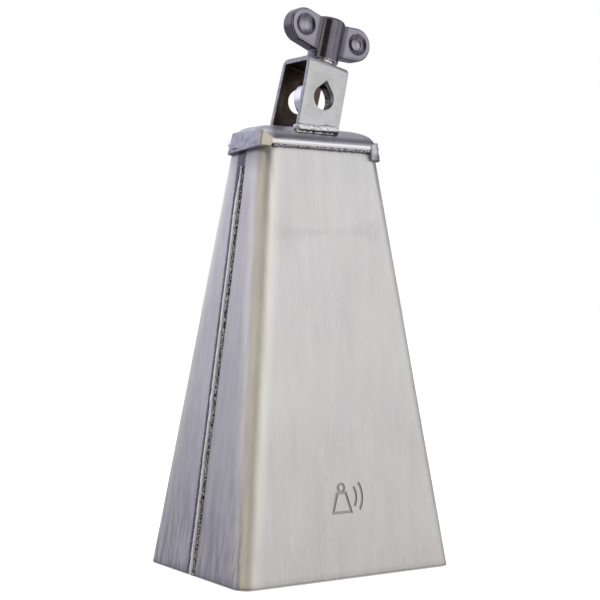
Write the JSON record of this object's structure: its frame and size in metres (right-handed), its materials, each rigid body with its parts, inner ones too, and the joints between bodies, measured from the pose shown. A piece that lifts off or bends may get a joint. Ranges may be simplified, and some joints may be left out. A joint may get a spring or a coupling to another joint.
{
  "type": "cowbell",
  "caption": "Welded sheet-steel cowbell with a tapered four-sided body, pressed cap, leaning strap bracket, eye bolt and black wing nut that clamp it on a rod.",
  "frame": {"origin": "centre of the open mouth, in the plane of its rim", "axes": "+Z from the mouth to the cap, -Y out of the wide front face with the sign, +X to the right, the way the clamp leans"},
  "size_m": [0.1228, 0.0876, 0.2681],
  "materials": {
    "body_steel": "brushed",
    "seam_weld": "rough bead",
    "cap_steel": "satin",
    "cap_weld": "ground weld",
    "bracket_steel": "satin",
    "foot_weld": "bright weld",
    "bright_plating": "polished",
    "black_nickel": "dark polished"
  },
  "bodies": {
    "bell": {"front_shell": "body_steel", "rear_shell": "body_steel", "left_seam_weld": "seam_weld", "right_seam_weld": "seam_weld", "top_cap": "cap_steel", "front_cap_weld": "cap_weld", "rear_cap_weld": "cap_weld", "left_cap_weld": "cap_weld", "right_cap_weld": "cap_weld", "clamp_bracket": "bracket_steel", "front_foot_weld": "foot_weld", "rear_foot_weld": "foot_weld"},
    "eye_bolt": {"eye_bolt": "bright_plating"},
    "wing_nut": {"wing_nut": "black_nickel"}
  },
  "joints": [
    {"name": "wing_nut_turn", "type": "hinge", "parent": "bell", "child": "wing_nut", "pos_m": [0.0074, -0.0034, 0.24262], "axis": [0.2164, 0, 0.9763], "range_deg": [-1296, 864]},
    {"name": "eye_bolt_slide", "type": "slide", "parent": "bell", "child": "eye_bolt", "axis": [0.2164, 0, 0.9763], "range_m": [-0.00305, 0.00455]}
  ],
  "couplings": [
    {"joint": "eye_bolt_slide", "follows": "wing_nut_turn", "m_per_rad": -0.00019894}
  ]
}
